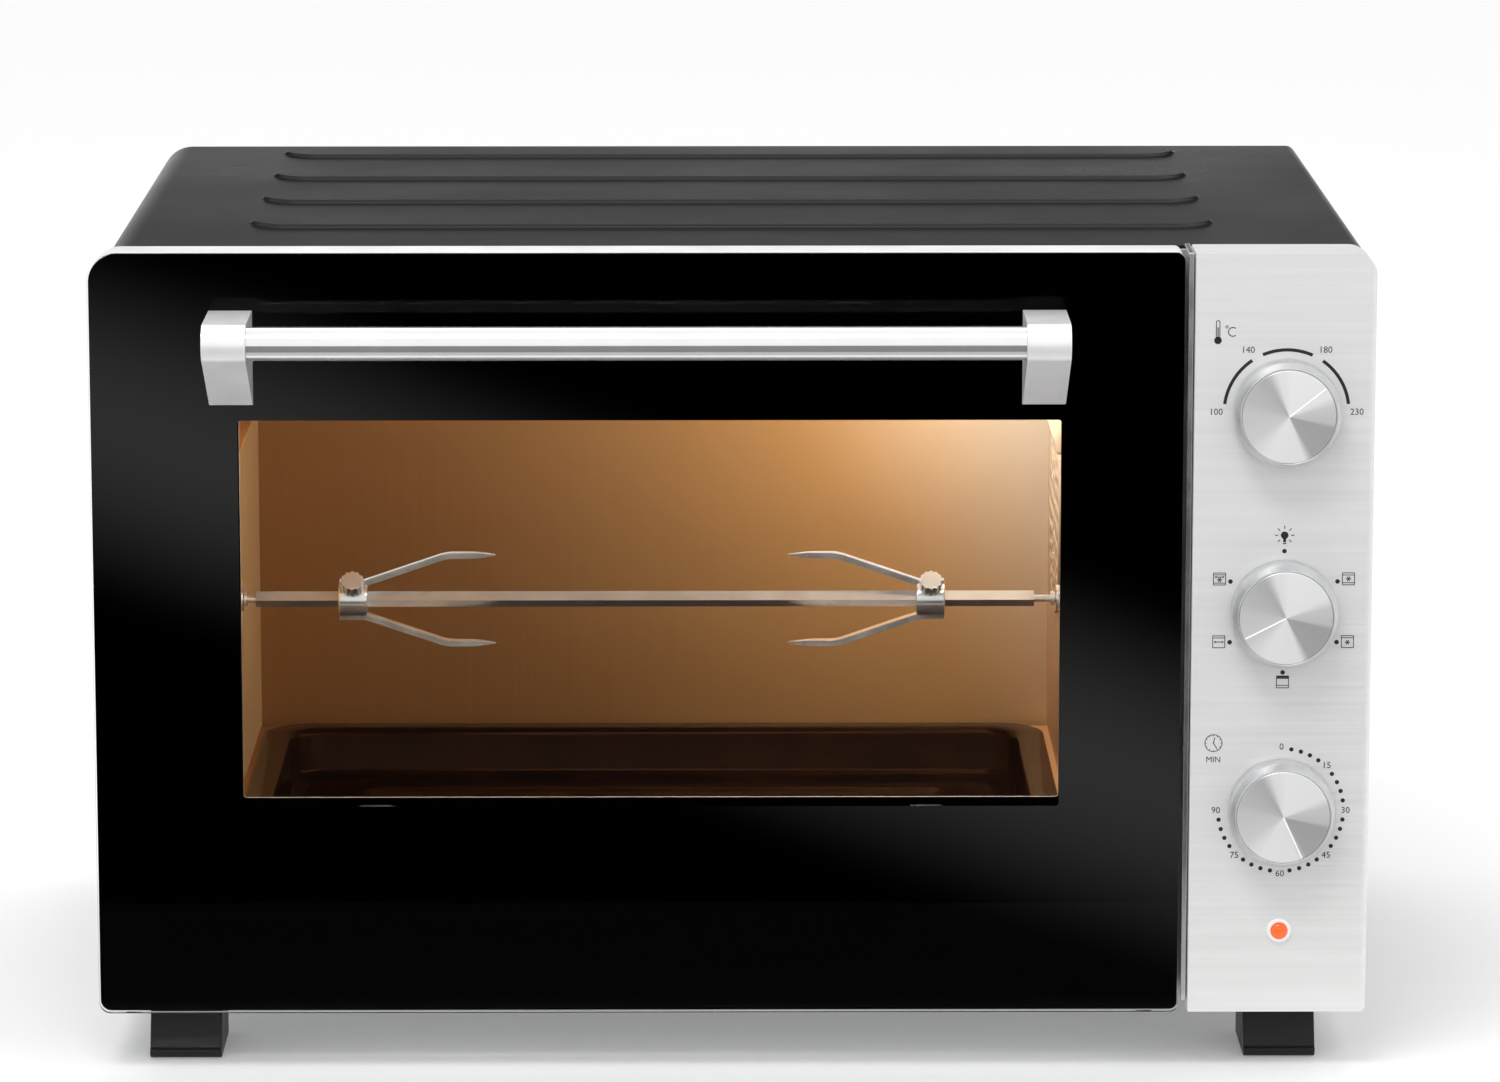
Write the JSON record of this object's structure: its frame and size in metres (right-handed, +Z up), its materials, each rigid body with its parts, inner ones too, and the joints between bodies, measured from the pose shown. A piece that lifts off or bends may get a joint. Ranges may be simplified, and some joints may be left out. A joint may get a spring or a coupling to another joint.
{
  "type": "rotisserie oven",
  "caption": "Counter-top electric oven with a glass drop-down door, tube handle, control fascia with knobs, motor-driven spit with forks, drip tray and embossed cover.",
  "frame": {"origin": "on the table, under the middle of the whole object's box", "axes": "+X to the right seen from the front, the front faces -Y, +Z up"},
  "size_m": [0.58, 0.461, 0.378],
  "materials": {
    "cover_black": "satin black stoved paint",
    "rear_black": "matt black paint",
    "galvanised": "galvanised sheet",
    "zinc": "zinc plated",
    "black_plastic": "fine moulded texture",
    "fascia_steel": "horizontally brushed stainless steel",
    "trim": "polished",
    "chamber": "satin gold-coated sheet",
    "heater_tube": "oxidised sheath",
    "ceramic": "unglazed",
    "bulb": "clear, warm",
    "lamp_glass": "clear",
    "motor_copper": "laminations and winding",
    "fan_aluminium": "stamped",
    "gear_motor": "pressed can",
    "thermostat_body": "pressed can",
    "switch_body": "moulded",
    "timer_body": "pressed case",
    "knob_silver": "satin silver",
    "spun_aluminium": "radially spun",
    "shaft_steel": "turned",
    "bezel": "glossy white",
    "lens_red": "translucent",
    "spit_chrome": "chrome plated",
    "enamel": "glossy dark enamel",
    "door_silver": "silver paint",
    "front_glass": "clear float glass",
    "inner_glass": "clear tempered glass",
    "glass_print": "black enamel print",
    "handle_polish": "polished stainless tube",
    "bracket_satin": "satin cast"
  },
  "bodies": {
    "cabinet": {"outer_cover": "cover_black", "base_plate": "galvanised", "rear_panel": "rear_black", "cabinet_screws": "zinc", "wall_spacers": "black_plastic", "cord_gland": "black_plastic", "front_frame": "galvanised", "control_fascia": "fascia_steel", "door_side_trim": "trim", "hinge_arms": "galvanised", "feet": "black_plastic", "chamber_left_wall": "chamber", "chamber_right_wall": "chamber", "chamber_rear_wall": "chamber", "chamber_roof": "chamber", "chamber_floor": "chamber", "rack_guides": "chamber", "heaters": "heater_tube", "heater_bushes": "ceramic", "lamp_holder": "ceramic", "lamp_bulb": "bulb", "lamp_lens": "lamp_glass", "fan_housing": "galvanised", "fan_motor": "motor_copper", "fan_grille": "chamber", "heat_shield": "galvanised", "control_bracket": "galvanised", "thermostat": "thermostat_body", "function_switch": "switch_body", "timer_unit": "timer_body", "indicator_bezel": "bezel", "indicator_lens": "lens_red", "spit_motor": "gear_motor", "spit_support": "spit_chrome"},
    "door": {"door_frame": "door_silver", "door_outer_glass": "front_glass", "door_glass_border": "glass_print", "door_inner_glass": "inner_glass", "glass_clips": "galvanised", "hinge_pins": "zinc", "handle_bar": "handle_polish", "handle_brackets": "bracket_satin", "handle_screws": "zinc"},
    "temperature_control": {"temperature_knob": "knob_silver", "temperature_knob_cap": "spun_aluminium", "temperature_shaft": "shaft_steel"},
    "function_control": {"function_knob": "knob_silver", "function_knob_cap": "spun_aluminium", "function_shaft": "shaft_steel"},
    "timer_control": {"timer_knob": "knob_silver", "timer_knob_cap": "spun_aluminium", "timer_shaft": "shaft_steel"},
    "spit": {"drive_socket": "spit_chrome", "spit_rod": "spit_chrome"},
    "left_fork": {"left_fork": "spit_chrome"},
    "right_fork": {"right_fork": "spit_chrome"},
    "left_thumbscrew": {"left_thumbscrew": "spit_chrome"},
    "right_thumbscrew": {"right_thumbscrew": "spit_chrome"},
    "fan": {"fan_wheel": "fan_aluminium"},
    "tray": {"drip_tray": "enamel"}
  },
  "joints": [
    {"name": "door_hinge", "type": "hinge", "parent": "cabinet", "child": "door", "pos_m": [-0.043, -0.1715, 0.0395], "axis": [1, 0, 0], "range_deg": [0, 84], "stiffness_Nm_per_rad": 0.6, "springref_deg": -68.75},
    {"name": "temperature_turn", "type": "hinge", "parent": "cabinet", "child": "temperature_control", "pos_m": [0.2496, -0.1815, 0.3061], "axis": [0, 1, 0], "range_deg": [-142, 38]},
    {"name": "function_turn", "type": "hinge", "parent": "cabinet", "child": "function_control", "pos_m": [0.2496, -0.1815, 0.2141], "axis": [0, 1, 0], "range_deg": [-240, 60]},
    {"name": "timer_turn", "type": "hinge", "parent": "cabinet", "child": "timer_control", "pos_m": [0.2496, -0.1815, 0.1221], "axis": [0, 1, 0], "range_deg": [-155.6, 114.4]},
    {"name": "spit_spin", "type": "hinge", "parent": "cabinet", "child": "spit", "pos_m": [0, 0.0135, 0.183], "axis": [1, 0, 0], "continuous": true},
    {"name": "left_fork_slide", "type": "slide", "parent": "spit", "child": "left_fork", "axis": [1, 0, 0], "range_m": [-0.035, 0.05]},
    {"name": "right_fork_slide", "type": "slide", "parent": "spit", "child": "right_fork", "axis": [1, 0, 0], "range_m": [-0.05, 0.038]},
    {"name": "left_thumbscrew_turn", "type": "hinge", "parent": "left_fork", "child": "left_thumbscrew", "pos_m": [-0.182, 0.0135, 0.183], "axis": [0, -0.7071, 0.7071], "range_deg": [-720, 0]},
    {"name": "right_thumbscrew_turn", "type": "hinge", "parent": "right_fork", "child": "right_thumbscrew", "pos_m": [0.096, 0.0135, 0.183], "axis": [0, -0.7071, 0.7071], "range_deg": [-720, 0]},
    {"name": "fan_spin", "type": "hinge", "parent": "cabinet", "child": "fan", "pos_m": [0.17, 0.0965, 0.2115], "axis": [1, 0, 0], "continuous": true},
    {"name": "tray_slide", "type": "slide", "parent": "cabinet", "child": "tray", "axis": [0, -1, 0], "range_m": [-0.005, 0.009]}
  ]
}
